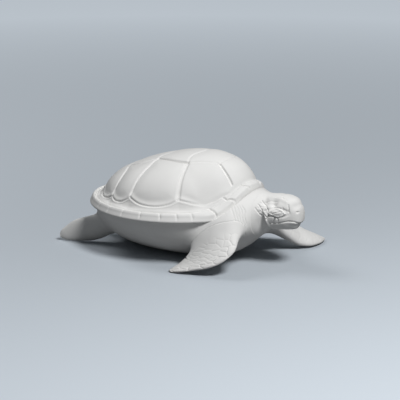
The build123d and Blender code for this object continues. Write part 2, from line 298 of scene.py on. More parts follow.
def rimHalfWidth(along):
    return shell["halfWidth"] * (1 - shell["rearTaper"] * np.minimum(along, 0) ** 2)


def rimPlace(x, y):
    # share of the way to the rim, and the bearing in degrees
    along = x / np.where(x > 0, shell["front"], shell["rear"])
    across = y / rimHalfWidth(np.maximum(along, -1))
    return np.hypot(along, across), np.degrees(np.arctan2(across, along))


def rimPoint(reach, bearing):
    along, across = np.cos(np.radians(bearing)) * reach, np.sin(np.radians(bearing)) * reach
    return along * np.where(along > 0, shell["front"], shell["rear"]), across * rimHalfWidth(along)


def overNeck(bearing, halfAngle):
    turn = np.minimum(np.abs(bearing) / halfAngle, 1)
    return np.cos(math.pi / 2 * turn ** shell["archPower"]) ** 2


def rimUnderside(reach, bearing):
    sheer = shell["rimSheer"] * np.cos(np.radians(bearing))
    arch = shell["archRise"] * overNeck(bearing, shell["archHalfAngle"])
    return shell["rimHeight"] + reach * (sheer + arch)


def shellTop(x, y):
    reach, bearing = rimPlace(x, y)
    start = shell["bandStart"]
    inward = np.maximum(1 - reach / start, 0)
    lift = overNeck(bearing, shell["archHalfAngle"] + shell["archSpread"] * inward)
    along = np.cos(np.radians(bearing))
    rise = shell["bandRise"] - shell["bandDropOverNeck"] * lift
    edge = shell["rimHeight"] + shell["rimSheer"] * along + shell["archRise"] * lift
    edge = edge + shell["rimFace"] + shell["rimFaceOverNeck"] * lift
    out = np.clip((reach - start) / (1 - start), 0, 1)
    share = domeRise(reach) * (1 - lift) + frontRise(reach) * lift
    crown = shell["crownLean"] * reach * along * np.maximum(1 - (reach / start) ** 2, 0)
    dome = edge + rise + (shell["height"] - edge - rise) * share + crown
    return np.where(reach > start, edge + rise * (1 - out**2), dome)


def onShell(corners, side):
    line = sampled([(x, side * y, 0) for x, y in corners])
    line[:, 2] = shellTop(line[:, 0], line[:, 1])
    return line


def skirtReach(bearing):
    # reach of the flank scutes' lower edges, a cusp at each seam
    turn = np.abs(bearing)
    reach = np.full(np.shape(turn), skirt["feet"][0][1])
    for (low, lowReach), (high, highReach), swell in zip(skirt["feet"], skirt["feet"][1:], skirt["swell"]):
        t = np.clip((turn - low) / (high - low), 0, 1)
        edge = lowReach + (highReach - lowReach) * t + swell * (1 - (2 * t - 1) ** 2)
        reach = np.where(turn >= low, edge, reach)
    return reach


def shellRelief(points):
    # how far the top surface is pushed out along its normal
    reach, bearing = rimPlace(points[:, 0], points[:, 1])
    turn = np.abs(bearing)
    nearest, cut = np.full(len(points), farAway), np.zeros(len(points))
    for width, depth, corners in seams["lines"]:
        for side in (1, -1):
            gap = distanceTo(points, onShell(corners, side), seams["search"])
            nearest = np.minimum(nearest, gap)
            cut = np.maximum(cut, depth * trough(gap, width))
    turns = np.linspace(-180, 180, skirt["samples"])
    x, y = rimPoint(skirtReach(turns), turns)
    edge = np.stack([x, y, shellTop(x, y)], 1)
    below = distanceTo(points, edge, seams["search"]) * np.sign(reach - skirtReach(bearing))
    strength = ease(skirt["fadeFrom"], skirt["fadeTo"], turn)
    inside = 1 - ease(-skirt["softness"], skirt["softness"], below)
    nearest = np.minimum(nearest, np.where(below < 0, -below * (1 + 2 * (1 - strength)), farAway))
    aside = np.hypot(points[:, 0] * seams["flankForward"], points[:, 1])
    flank = ease(seams["flankFrom"], seams["flankTo"], aside)
    pillow = seams["spinePillow"] * (1 - flank) + seams["flankPillow"] * flank
    relief = -(pillow * bell(nearest, seams["pillowWidth"]) + cut) * inside
    relief += strength * skirt["step"] * bell(np.minimum(below, 0), skirt["stepWidth"]) * inside
    relief -= strength * skirt["undercut"] * bell(below - skirt["undercutPlace"], skirt["undercutWidth"])
    relief += strength * skirt["lip"] * bell(below - skirt["lipPlace"], skirt["lipWidth"])
    span = 0.5 * (shell["rear"] + shell["halfWidth"])
    groove = grooveReach(turn)
    past = (reach - groove) * span
    relief += strength * band["ridgeHeight"] * bell((reach - band["ridge"]) * span, band["ridgeWidth"])
    # the ledge sinks towards the band, which stands up beside it
    share = np.clip(below / np.maximum(below - past, 0.1), 0, 1)
    ledge = ease(*band["ledgeSink"], share) * (1 - ease(*band["ledgeEnd"], past))
    relief -= strength * band["ledgeDepth"] * ledge
    plateau = ease(*band["plateauRise"], past) * (1 - ease(band["plateauEnd"], 1, reach))
    relief += (1 - strength) * band["frontPlateau"] * plateau
    relief += (1 - strength) * band["frontLip"] * bell((reach - band["lipReach"]) * span, band["lipWidth"])
    least, added = band["grooveShares"]
    relief -= band["grooveDepth"] * (least + added * strength) * bell(past, band["grooveWidth"])
    relief -= strength * band["borderDepth"] * bell((reach - band["border"]) * span, band["borderWidth"])
    divide = np.full(len(points), farAway)
    count = band["dividerSamples"]
    for inner, outer in band["dividers"]:
        reaches, turns = np.linspace(grooveReach(inner), 1.0, count), np.linspace(inner, outer, count)
        for side in (1, -1):
            x, y = rimPoint(reaches, side * turns)
            line = np.stack([x, y, shellTop(x, y)], 1)
            divide = np.minimum(divide, distanceTo(points, line, band["dividerSearch"]))
    soft = 1 - band["dividerSoftness"] * ease(*band["dividerSoftTurns"], turn)
    dividers = band["dividerDepth"] * soft * bell(divide, band["dividerWidth"])
    return relief - dividers * ease(*band["dividerStart"], past)


def buildCarapace():
    n = shell["squareCells"]
    u, v = np.meshgrid(np.linspace(-1, 1, n + 1), np.linspace(-1, 1, n + 1), indexing="ij")
    along = u * np.sqrt(1 - v**2 / 2) * shell["squareReach"]
    across = v * np.sqrt(1 - u**2 / 2) * shell["squareReach"]
    bearing = np.degrees(np.arctan2(across, along)).ravel()
    x, y = rimPoint(np.hypot(along, across).ravel(), bearing)
    quads = gridQuads(n + 1, n + 1)[:, ::-1]
    index = np.arange((n + 1) ** 2).reshape(n + 1, n + 1)
    loop = np.concatenate([index[:-1, 0], index[-1, :-1], index[:0:-1, -1], index[0, :0:-1]])
    turns = bearing[loop]
    inset = shell["edgeRound"] / shell["halfWidth"]
    reaches = np.linspace(shell["squareReach"], 1 - inset, shell["rings"] + 1)[1:]
    ringX, ringY = rimPoint(reaches[:, None], turns[None, :])
    x, y = np.concatenate([x, ringX.ravel()]), np.concatenate([y, ringY.ravel()])
    points = np.stack([x, y, shellTop(x, y)], 1)
    around = len(loop)
    first = (n + 1) ** 2
    outer = first + np.arange(around)
    joined = np.stack([loop, np.roll(loop, -1), np.roll(outer, -1), outer], 1)
    quads = np.concatenate([quads, joined[:, ::-1], gridQuads(len(reaches), around, True, first)[:, ::-1]])
    normal = normalsOf(points, quads)
    if normal[first // 2, 2] < 0:
        quads, normal = quads[:, ::-1], -normal
    points = points + normal * shellRelief(points)[:, None]
    # rounded rim face, underside and hollow, ring by ring from the top edge inward
    lift = overNeck(turns, shell["archHalfAngle"])
    low = rimUnderside(1.0, turns)
    face = shell["rimFace"] + shell["rimFaceOverNeck"] * lift
    rings = []
    for share, height in shell["rimProfile"]:
        px, py = rimPoint(1 - share * inset, turns)
        rings.append(np.stack([px, py, low + face * height], 1))
    for reach in (shell["undersideReach"], shell["cavity"]):
        px, py = rimPoint(reach, turns)
        rings.append(np.stack([px, py, rimUnderside(reach, turns)], 1))
    wider = shell["halfWidth"] / (shell["halfWidth"] - shell["wall"])
    for reach in shell["hollowReaches"]:
        px, py = rimPoint(reach, turns)
        roof = shellTop(px * wider, py * wider) - shell["wall"] - shell["hollowExtra"]
        rings.append(np.stack([px, py, roof], 1))
    last = len(points) - around
    extra = gridQuads(len(rings) + 1, around, True, last)
    points = np.concatenate([points] + rings)
    probe = np.cross(points[extra[0, 1]] - points[extra[0, 0]], points[extra[0, 3]] - points[extra[0, 0]])
    outward = points[extra[0, 0]] * (1, 1, 0)
    extra = extra if probe @ outward > 0 else extra[:, ::-1]
    cap = np.arange(len(points) - around, len(points))
    cap = cap if extra[0, 0] < extra[0, 2] else cap[::-1]
    return makePiece("carapace_shell", "carapace", points, np.concatenate([quads, extra]), [cap[::-1]])


# Body: hull and chest

hull = {
    "rear": (0.45, 0.56, 0.66, 0.747, 0.826, 0.888, 0.921, 0.921, 0.921),
    "front": (0.475, 0.64, 0.757, 0.864, 0.947, 0.97, 0.947, 0.94, 0.935),
    "side": (0.162, 0.297, 0.419, 0.554, 0.689, 0.811, 0.905, 0.919, 0.919),
    "level": (0, 0.058, 0.139, 0.255, 0.417, 0.648, 0.926, 1.2, 1.85),
    "axisHeight": 33.0,
    "axisRise": (40.0, 92.0),
    "neckAxisFrom": 60.0,
    "chestStart": 40.0,
    "blend": 7.0,
    "under": 0.35,
    "roofReach": 0.99,
    "roofSlope": 90.0,
    "rows": 300,
    "rowShift": 0.06,
    "neckRows": 100,
    "neckStart": 70.0,
    "columns": 320,
    "rayReach": 90.0,
    "raySteps": 90,
    "rayHalvings": 14,
}

neck = {
    "reach": 133.2,
    "seam": 92.0,
    "height": 51.0,
    "halfHeight": 16.5,
    "halfWidth": 16.5,
    "stations": (
        (0.30, 0.843, 1.697, 2.6),
        (0.48, 0.843, 1.697, 2.6),
        (0.571, 0.863, 1.606, 2.364),
        (0.638, 0.882, 1.424, 1.879),
        (0.6907, 0.912, 1.242, 1.455),
        (0.736, 0.951, 1.091, 1.152),
        (0.781, 0.98, 1.03, 1.03),
        (0.833, 1, 1, 1),
        (0.886, 1.01, 0.952, 0.897),
        (0.935, 1.01, 0.885, 0.727),
        (0.972, 0.99, 0.788, 0.545),
        (0.9925, 0.98, 0.576, 0.333),
        (1, 0.98, 0.15, 0.09),
    ),
}

hullAt = smoothTable(
    np.array(hull["level"]) * shell["rimHeight"],
    np.array([hull["rear"], hull["front"], hull["side"]]).T,
)
neckAt = smoothTable(
    [row[0] * neck["reach"] for row in neck["stations"]],
    [row[1:] for row in neck["stations"]],
)


def neckOval(x):
    # middle height, half height and half width of the neck at a place along it
    row = neckAt(x)
    return row[..., 0] * neck["height"], row[..., 1] * neck["halfHeight"], row[..., 2] * neck["halfWidth"]


def hullGap(points):
    # about how far a point lies outside the hull
    rear, front, side = np.moveaxis(hullAt(points[..., 2]), -1, 0)
    rear, front, side = rear * shell["rear"], front * shell["front"], side * shell["halfWidth"]
    half = (front + rear) / 2
    share = np.hypot((points[..., 0] - (front - rear) / 2) / half, points[..., 1] / side)
    gap = (share - 1) * side
    return np.where(points[..., 2] < 0, np.maximum(gap, -points[..., 2]), gap)


def chestGap(points):
    middle, halfHeight, halfWidth = neckOval(points[..., 0])
    share = np.hypot(points[..., 1] / halfWidth, (points[..., 2] - middle) / halfHeight)
    gap = (share - 1) * np.minimum(halfWidth, halfHeight)
    return np.maximum(gap, hull["chestStart"] - points[..., 0])


def softUnion(a, b, width):
    t = np.clip(0.5 + 0.5 * (b - a) / width, 0, 1)
    return b * (1 - t) + a * t - width * t * (1 - t)


def bodyGap(points):
    return softUnion(hullGap(points), chestGap(points), hull["blend"])


def outermost(start, direction, farthest, gapAt):
    # march each ray inward from its far end to the surface, then halve the step
    low = np.zeros(len(start))
    for t in np.linspace(farthest, 0, hull["raySteps"]):
        inside = gapAt(start + direction * t) < 0
        hit = inside & (low == 0)
        low[hit] = t
    high = low + farthest / (hull["raySteps"] - 1)
    for _ in range(hull["rayHalvings"]):
        middle = (low + high) / 2
        inside = gapAt(start + direction * middle[:, None]) < 0
        low, high = np.where(inside, middle, low), np.where(inside, high, middle)
    return (low + high) / 2


# Limbs, each from the rows of its leading edge, its trailing edge and its half thickness

limbs = {
    "front_flipper_right": {
        "sizes": (92.8, 72.0, 47.4),
        "side": -1,
        "halfThickness": 10.4,
        "rows": (
            ((0.84, 0.22, 0.93), (0.60, 0.30, 0.84), 0.95),
            ((0.92, 0.39, 0.86), (0.60, 0.50, 0.76), 0.9),
            ((0.975, 0.56, 0.70), (0.575, 0.615, 0.62), 0.68),
            ((1.0, 0.70, 0.52), (0.555, 0.68, 0.48), 0.5),
            ((0.94, 0.83, 0.34), (0.52, 0.735, 0.335), 0.36),
            ((0.81, 0.915, 0.20), (0.465, 0.785, 0.205), 0.29),
            ((0.64, 0.96, 0.11), (0.425, 0.86, 0.11), 0.22),
            ((0.50, 0.995, 0.05), (0.39, 0.93, 0.05), 0.15),
            ((0.42, 1.0, 0.025), (0.38, 0.975, 0.025), 0.075),
        ),
    },
    "front_flipper_left": {
        "sizes": (111.7, 93.8, 37.9),
        "side": 1,
        "halfThickness": 10.4,
        "rows": (
            ((0.75, 0.22, 1.0), (0.475, 0.30, 1.0), 0.91),
            ((0.83, 0.34, 0.65), (0.525, 0.485, 0.90), 0.91),
            ((0.88, 0.465, 0.325), (0.645, 0.605, 0.75), 0.73),
            ((0.93, 0.575, 0.125), (0.745, 0.705, 0.55), 0.55),
            ((0.985, 0.685, 0.075), (0.815, 0.81, 0.35), 0.41),
            ((1.0, 0.81, 0.0625), (0.88, 0.91, 0.20), 0.27),
            ((0.987, 0.92, 0.05), (0.925, 0.97, 0.10), 0.16),
            ((0.966, 0.99, 0.0375), (0.95, 1.0, 0.045), 0.075),
        ),
    },
    "hind_flipper_right": {
        "sizes": (107.5, 42.1, 32.2),
        "side": -1,
        "halfThickness": 8.5,
        "rows": (
            ((-0.565, 0.45, 0.35), (-0.53, 0.675, 1.0), 1),
            ((-0.67, 0.585, 0.12), (-0.635, 0.81, 0.94), 0.67),
            ((-0.765, 0.70, 0.03), (-0.75, 0.855, 0.82), 0.44),
            ((-0.855, 0.81, 0.015), (-0.855, 0.90, 0.69), 0.33),
            ((-0.943, 0.90, 0.025), (-0.934, 0.945, 0.50), 0.27),
            ((-0.987, 0.955, 0.075), (-0.987, 0.99, 0.32), 0.16),
            ((-1.0, 0.99, 0.12), (-1.0, 1.0, 0.21), 0.07),
        ),
    },
}
limbs["hind_flipper_left"] = dict(limbs["hind_flipper_right"], side=1)
blade = {
    "spanCells": 200,
    "aroundCells": 280,
    "tipCrowding": 0.97,
    "lowest": 0.15,
    "frontFillet": 18.0,
    "hindFillet": 6.0,
    "filletRounds": 20,
    "scaleFade": (0.2, 1.5),
}
tail = {
    "spanCells": 60,
    "aroundCells": 64,
    "fillet": 4.0,
    "reach": 90.0,
    "height": 24.0,
    "halfHeight": 5.0,
    "halfWidth": 7.0,
    "stations": (
        (0.74, 1, 1.05, 1.1),
        (0.78, 1, 1, 1),
        (0.87, 0.875, 0.8, 0.786),
        (0.955, 0.71, 0.52, 0.5),
        (1, 0.6, 0.12, 0.12),
    ),
}


def limbGrid(limb):
    # a grid of points round the blade from root to tip
    forward, outward, height = limb["sizes"]
    table = []
    for leading, trailing, thickness in limb["rows"]:
        row = [leading[0] * forward, limb["side"] * leading[1] * outward, leading[2] * height]
        row += [trailing[0] * forward, limb["side"] * trailing[1] * outward, trailing[2] * height]
        table.append(row + [thickness * limb["halfThickness"]])
    rowAt = smoothTable(range(len(table)), table)
    spans = (len(table) - 1) * np.linspace(0, 1, blade["spanCells"]) ** blade["tipCrowding"]
    rows = rowAt(spans)
    middle, chord = (rows[:, :3] + rows[:, 3:6]) / 2, (rows[:, :3] - rows[:, 3:6]) / 2
    along = np.gradient(middle, axis=0)
    square = np.cross(along, chord)
    square /= np.linalg.norm(square, axis=1, keepdims=True)
    square *= np.sign(square[len(square) // 2, 2] + 1e-9)
    turn = 2 * math.pi * np.arange(blade["aroundCells"]) / blade["aroundCells"]
    across, up = np.cos(turn), np.sin(turn)
    points = middle[:, None] + chord[:, None] * across[None, :, None]
    points = points + (square * rows[:, 6:7])[:, None] * up[None, :, None]
    return points, across, up


def closeGrid(points, rows, columns):
    # quads and end caps of a closed tube, wound so that its normals point out
    quads = gridQuads(rows, columns, True)
    middle = points.reshape(rows, columns, 3).mean(1)
    row = rows // 2
    normal = normalsOf(points, quads)[row * columns : (row + 1) * columns]
    outward = points.reshape(rows, columns, 3)[row] - middle[row]
    flipped = (normal * outward).sum() < 0
    caps = [np.arange(columns), np.arange((rows - 1) * columns, rows * columns)[::-1]]
    if flipped:
        return quads[:, ::-1], caps
    return quads, [cap[::-1] for cap in caps]


def swell(points, normal, otherPoints, otherQuads, fillet):
    # how far a surface is pushed out beside its neighbour, as slip fills a luted joint
    gap, slope = np.full(len(points), farAway), np.zeros(len(points))
    near = np.all((points > otherPoints.min(0) - fillet) & (points < otherPoints.max(0) + fillet), axis=1)
    tree = BVHTree.FromPolygons(otherPoints.tolist(), otherQuads.tolist())
    for i in np.nonzero(near)[0]:
        place, facing, _, distance = tree.find_nearest(points[i], fillet)
        if place is not None:
            gap[i] = distance if (Vector(points[i]) - place).dot(facing) > 0 else -distance
            slope[i] = normal[i] @ np.array(facing)
    out = np.zeros_like(gap)
    for _ in range(blade["filletRounds"]):
        rest = np.abs(gap + out * (slope - 1))
        out = (out + fillet / 4 * np.clip(1 - rest / fillet, 0, 1) ** 2) / 2
    return out


def underRim(points):
    # keeps points that lie within the rim's outline below the rim
    reach, bearing = rimPlace(points[:, 0], points[:, 1])
    roof = rimUnderside(np.minimum(reach, 1), bearing) - hull["under"]
    roof += np.maximum(reach - hull["roofReach"], 0) * hull["roofSlope"]
    points[:, 2] = np.minimum(points[:, 2], roof)
    return points


# Scales: their sizes and depths on each blade, where they start, and notches by place and depth

hindScales = {"size": 4.8, "edgeSize": 7.0, "depth": 0.28, "edgeDepth": 0.35, "from": 0.25, "notches": ()}
scales = {
    "front_flipper_right": {"size": 7.5, "edgeSize": 10.0, "depth": 0.22, "edgeDepth": 0.55, "from": 0.24,
                            "notches": ((0.52, 1.3), (0.68, 1.2))},
    "front_flipper_left": {"size": 7.5, "edgeSize": 10.0, "depth": 0.12, "edgeDepth": 0.2, "from": 0.24,
                           "notches": ()},
    "hind_flipper_right": hindScales,
    "hind_flipper_left": hindScales,
}

# what the scales of all blades share: how their seeds lie, then the form of their grooves and notches
scaleForm = {
    "leadingShare": 0.16,
    "leadingMost": 3.4,
    "trailingShare": 0.1,
    "trailingMost": 1.6,
    "edgeStray": 0.6,
    "rowsFrom": 7.5,
    "rowsTo": 3.0,
    "strayAlong": 1.7,
    "strayBehind": 1.4,
    "upperFace": (0.05, 0.35),
    "startFade": 0.1,
    "edgeFade": (6.0, 8.0),
    "cushion": 0.45,
    "cushionWidth": 1.8,
    "grooveWidth": 0.5,
    "notchSlant": 0.3,
    "notchWidth": 0.7,
    "notchFade": (4.5, 2.0),
}


def scaleRelief(grid, across, up, look, seed):
    # grooves between the scales on a blade's upper face
    form = scaleForm
    middle = grid.mean(1)
    along = np.concatenate([[0], np.cumsum(np.linalg.norm(np.diff(middle, axis=0), axis=1))])
    span = along[-1]
    half = np.linalg.norm(grid[:, 0] - grid[:, grid.shape[1] // 2], axis=1) / 2
    behind = half[:, None] * (1 - across[None, :])
    u = np.broadcast_to(along[:, None], behind.shape).ravel()
    v = behind.ravel()
    chance = np.random.default_rng(seed)
    spots = []
    # seeds of the scales, as places along the span and behind the leading edge
    for a in np.arange(0, span + look["edgeSize"], look["edgeSize"]):
        wide = 2 * np.interp(a, along, half)
        shift = chance.uniform(-form["edgeStray"], form["edgeStray"])
        spots.append((a + shift, min(form["leadingShare"] * wide, form["leadingMost"])))
        trailing = wide - min(form["trailingShare"] * wide, form["trailingMost"])
        spots.append((a + look["edgeSize"] / 2 + shift, trailing))
        for b in np.arange(form["rowsFrom"], wide - form["rowsTo"], look["size"]):
            for c in (0, look["edgeSize"] / 2):
                strayAlong = chance.uniform(-form["strayAlong"], form["strayAlong"])
                strayBehind = chance.uniform(-form["strayBehind"], form["strayBehind"])
                spots.append((a + c + strayAlong, b + strayBehind))
    spots = np.array(spots)
    border = np.full(len(u), farAway)
    for part in np.array_split(np.arange(len(u)), len(u) * len(spots) // cellLimit + 1):
        gap = np.hypot(u[part][:, None] - spots[None, :, 0], v[part][:, None] - spots[None, :, 1])
        gap.partition(1, axis=1)
        border[part] = gap[:, 1] - gap[:, 0]
    face = ease(*form["upperFace"], np.broadcast_to(up[None, :], behind.shape).ravel())
    start = ease(look["from"] * span, (look["from"] + form["startFade"]) * span, u)
    ahead = np.broadcast_to(2 * half[:, None], behind.shape).ravel() - v
    depth = look["depth"] + (look["edgeDepth"] - look["depth"]) * (1 - ease(*form["edgeFade"], v))
    cushion = form["cushion"] * (1 - bell(border, form["cushionWidth"]))
    relief = depth * (cushion - bell(border, form["grooveWidth"])) * face * start
    for share, notch in look["notches"]:
        place = u - share * span - form["notchSlant"] * ahead
        relief -= notch * bell(place, form["notchWidth"]) * ease(*form["notchFade"], ahead)
    return relief


def buildLimb(name, body):
    grid, across, up = limbGrid(limbs[name])
    rows, columns = grid.shape[:2]
    points = grid.reshape(-1, 3)
    quads, caps = closeGrid(points, rows, columns)
    fillet = blade["frontFillet"] if name.startswith("front") else blade["hindFillet"]
    plain, normal = points.copy(), normalsOf(points, quads)
    out = swell(points, normal, *body, fillet)
    relief = scaleRelief(grid, across, up, scales[name], len(name)) * (1 - ease(*blade["scaleFade"], out))
    points = points + normal * out[:, None]
    points = points + normalsOf(points, quads) * relief[:, None]
    points[:, 2] = np.maximum(points[:, 2], blade["lowest"])
    makePiece(name + "_blade", name, underRim(points), quads, caps)
    return plain, quads, fillet


def buildTail(body):
    rows, columns = tail["spanCells"], tail["aroundCells"]
    stations = np.array(tail["stations"])
    at = smoothTable(stations[:, 0] * tail["reach"], stations[:, 1:])
    x = np.linspace(stations[0, 0], 1, rows) * tail["reach"]
    row = at(x)
    turn = 2 * math.pi * np.arange(columns) / columns
    y = row[:, 2:3] * tail["halfWidth"] * np.cos(turn)
    z = row[:, :1] * tail["height"] + row[:, 1:2] * tail["halfHeight"] * np.sin(turn)
    points = np.stack([np.broadcast_to(-x[:, None], y.shape), y, z], -1).reshape(-1, 3)
    quads, caps = closeGrid(points, rows, columns)
    plain, normal = points.copy(), normalsOf(points, quads)
    points = points + normal * swell(points, normal, *body, tail["fillet"])[:, None]
    points[:, 0] = np.maximum(points[:, 0], -tail["reach"])
    makePiece("tail_cone", "tail", underRim(points), quads, caps)
    return plain, quads, tail["fillet"]


folds = {
    "heights": (30, 36, 45, 52, 57, 62),
    "places": (78, 79.5, 81, 80.5, 78, 74),
    "count": 5,
    "spacing": 1.95,
    "wave": 0.35,
    "wavePitch": 0.55,
    "waveShift": 0.7,
    "width": 0.5,
    "depth": 0.6,
    "fadeLow": (31, 37),
    "fadeHigh": (56, 61),
    "fadeSide": (10, 16),
}
foldPlace = smoothTable(folds["heights"], folds["places"])


def neckFolds(points):
    # creases down the sides of the neck
    x, y, z = points.T
    relief = np.zeros(len(points))
    for number in range(folds["count"]):
        wave = folds["wave"] * np.sin(folds["wavePitch"] * z + folds["waveShift"] * number)
        place = foldPlace(z) + folds["spacing"] * number + wave
        relief -= folds["depth"] * bell(x - place, folds["width"])
    relief = relief * ease(*folds["fadeLow"], z) * (1 - ease(*folds["fadeHigh"], z))
    return relief * ease(*folds["fadeSide"], np.abs(y))


def bodySkin():
    rows, columns = hull["rows"], hull["columns"]
    turn = 2 * math.pi * np.arange(columns) / columns
    fine = hull["neckRows"]
    back, middle, front = -hull["rear"][-1] * shell["rear"], hull["neckStart"], neck["seam"]
    place = np.linspace(0, 1, rows - fine)
    x = back + (middle - back) * (place - hull["rowShift"] * np.sin(2 * math.pi * place))
    x = np.concatenate([x, np.linspace(middle, front, fine + 1)[1:]])
    start = np.zeros((rows, columns, 3))
    start[..., 0] = x[:, None]
    neckAxis = neckOval(np.maximum(x, hull["neckAxisFrom"]))[0]
    lift = (neckAxis - hull["axisHeight"]) * ease(*hull["axisRise"], x)
    start[..., 2] = hull["axisHeight"] + lift[:, None]
    direction = np.zeros((rows, columns, 3))
    direction[..., 1], direction[..., 2] = np.cos(turn), np.sin(turn)
    start, direction = start.reshape(-1, 3), direction.reshape(-1, 3)
    radius = outermost(start, direction, hull["rayReach"], bodyGap)
    points = start + direction * radius[:, None]
    points[:, 2] = np.maximum(points[:, 2], 0)
    quads, caps = closeGrid(points, rows, columns)
    return points, quads, caps


def buildBody(points, quads, caps, neighbours):
    out, normal = np.zeros(len(points)), normalsOf(points, quads)
    for otherPoints, otherQuads, fillet in neighbours:
        out = np.maximum(out, swell(points, normal, otherPoints, otherQuads, fillet))
    points = points + normal * (out + neckFolds(points))[:, None]
    points[:, 2] = np.maximum(points[:, 2], 0)
    return makePiece("body_hull", "body", underRim(points), quads, caps)


# Head: lines on its side are a width, a depth, then places forward and heights;
# a dent is its place forward, its height, its size and its depth

face = {
    "rows": 230,
    "columns": 380,
    "tipCrowding": 1.35,
    "lineSearch": 4.0,
    "lines": (
        (0.6, 1.2, ((108, 42.9), (115.7, 44.1), (121.2, 45.8), (127.7, 46.4), (131.4, 44.8),
                    (133.2, 43.4))),
        (0.7, 1.7, ((123.6, 60.7), (124.4, 58.2), (124.9, 55.2))),
        (0.6, 1.0, ((115, 66.2), (118.2, 65.2), (121.4, 63.8))),
        (0.65, 1.2, ((105, 46.8), (106.6, 49.5), (110.1, 50.6), (113.2, 50), (112.1, 46.4), (109.9, 43))),
        (0.6, 1.0, ((113.2, 50), (115.9, 48.2), (114.9, 44.1))),
        (0.6, 0.9, ((98.1, 62.1), (101.5, 60), (104.1, 57.7), (105.8, 55.4), (107.1, 52.9))),
        (0.6, 0.9, ((96.1, 59.4), (101.1, 54.1), (104.6, 49.2))),
        (0.6, 0.8, ((95, 56.1), (98.7, 51.5), (102.2, 47.1))),
        (0.8, 0.3, ((96.6, 60.1), (102.3, 61.8), (107.8, 63.2), (113.5, 63.4))),
        (0.7, 0.5, ((96.9, 56.5), (102.9, 58.3))),
        (0.7, 0.5, ((97.8, 53.1), (101.8, 54.2), (105.7, 55.4))),
        (0.7, 0.7, ((119.6, 58.6), (120.2, 56.8), (120.4, 55.4))),
    ),
    "notch": (130.5, 60.5, 3.2, 1.3),
    "brow": ((103, 64.6), (108, 65.4), (114, 65.2), (121, 63.2)),
    "browSearch": 6.0,
    "browHeight": 0.8,
    "browWidth": 1.8,
    "lids": (((107.2, 53), (109.8, 55.1), (114, 57.4), (118.7, 56.1), (122.2, 53.4)),
             ((107.2, 53), (112, 51.1), (117.4, 50.8), (122.2, 53.4))),
    "lidHeight": 0.75,
    "lidWidth": 0.7,
    "slit": ((110.8, 52.9), (114.6, 54), (118.6, 55.6)),
    "slitDepth": 0.7,
    "slitWidth": 0.45,
    "eye": (114.7, 53.9, 6.2, 2.6),
    "eyeSwell": 1.1,
    "moatDepth": 0.8,
    "moatPlace": 1.55,
    "moatWidth": 0.3,
    "jawEdge": ((101.5, 54), (103.7, 49.1), (104.6, 44.4), (106.1, 39.9), (108.5, 36.6), (115.8, 35.2),
                (124.7, 36.5)),
    "jawSearch": 14.0,
    "jawTop": 58.0,
    "jawLow": 36.0,
    "jawLowShift": 1.5,
    "jawStep": 7.0,
    "jawSoftness": (-0.2, 1.6),
    "jawFar": 90.0,
    "jawFade": 10.0,
    "jawFull": 102.0,
    "jawHeights": (60.0, 38.0),
    "jawRidge": 0.6,
    "jawRidgeWidth": 1.3,
    "hollows": ((101.8, 60.8, 2.8, 2.2), (110.4, 60.8, 3.3, 3.0)),
    "nostril": (131.3, 54.7, 0.75, 1.3),
    "chinBack": 3.0,
    "chinHeights": (41.5, 45.2),
    "chinPlaces": (119.0, 133.0),
    "squareFrom": 112.0,
    "squareTo": 124.0,
    "squareness": 0.16,
}


def drawn(corners, side):
    # a line on the head's side, from places forward and heights
    line = sampled([(x, 0, z) for x, z in corners], 0.3)
    middle, halfHeight, halfWidth = neckOval(line[:, 0])
    line[:, 1] = side * halfWidth * np.sqrt(np.clip(1 - ((line[:, 2] - middle) / halfHeight) ** 2, 0, 1))
    return line


def headRelief(points):
    # how far the head's surface is pushed out along its normal
    x, y, z = points.T
    relief, cut = neckFolds(points), np.zeros(len(points))

    def gapTo(corners, side, search):
        return distanceTo(points, drawn(corners, side), search)

    def dent(forward, height, size, depth):
        return depth * bell(np.hypot(x - forward, z - height), size)

    for side in (1, -1):
        for width, depth, corners in face["lines"]:
            cut = np.maximum(cut, depth * bell(gapTo(corners, side, face["lineSearch"]), width))
        onSide = y * side > 0
        for lid in face["lids"]:
            relief += face["lidHeight"] * bell(gapTo(lid, side, face["lineSearch"]), face["lidWidth"])
        ex, ez, rx, rz = face["eye"]
        ring = np.hypot((x - ex) / rx, (z - ez) / rz)
        moat = face["moatDepth"] * bell(ring - face["moatPlace"], face["moatWidth"])
        relief += onSide * (face["eyeSwell"] * np.clip(1 - ring**2, 0, 1) - moat)
        slit = gapTo(face["slit"], side, face["lineSearch"])
        relief -= face["slitDepth"] * bell(slit, face["slitWidth"])
        # the neck steps in behind the jaw's edge
        edge = drawn(face["jawEdge"], side)
        gap = distanceTo(points, edge, face["jawSearch"])
        lineX = np.interp(z, edge[::-1, 2], edge[::-1, 0]) + face["jawLowShift"] * (z < face["jawLow"])
        behind = onSide * (x < lineX) * (z < face["jawTop"])
        fade = np.exp(-np.minimum(gap, face["jawFar"]) / face["jawFade"])
        fade = fade * ease(neck["seam"], face["jawFull"], x)
        step = behind * face["jawStep"] * ease(*face["jawSoftness"], gap)
        relief -= step * fade * ease(*face["jawHeights"], z)
        relief += (1 - behind) * onSide * face["jawRidge"] * bell(gap, face["jawRidgeWidth"])
        brow = gapTo(face["brow"], side, face["browSearch"])
        relief += face["browHeight"] * bell(brow, face["browWidth"])
        for place in (*face["hollows"], face["nostril"]):
            relief -= onSide * dent(*place)
    return relief - cut - dent(*face["notch"])


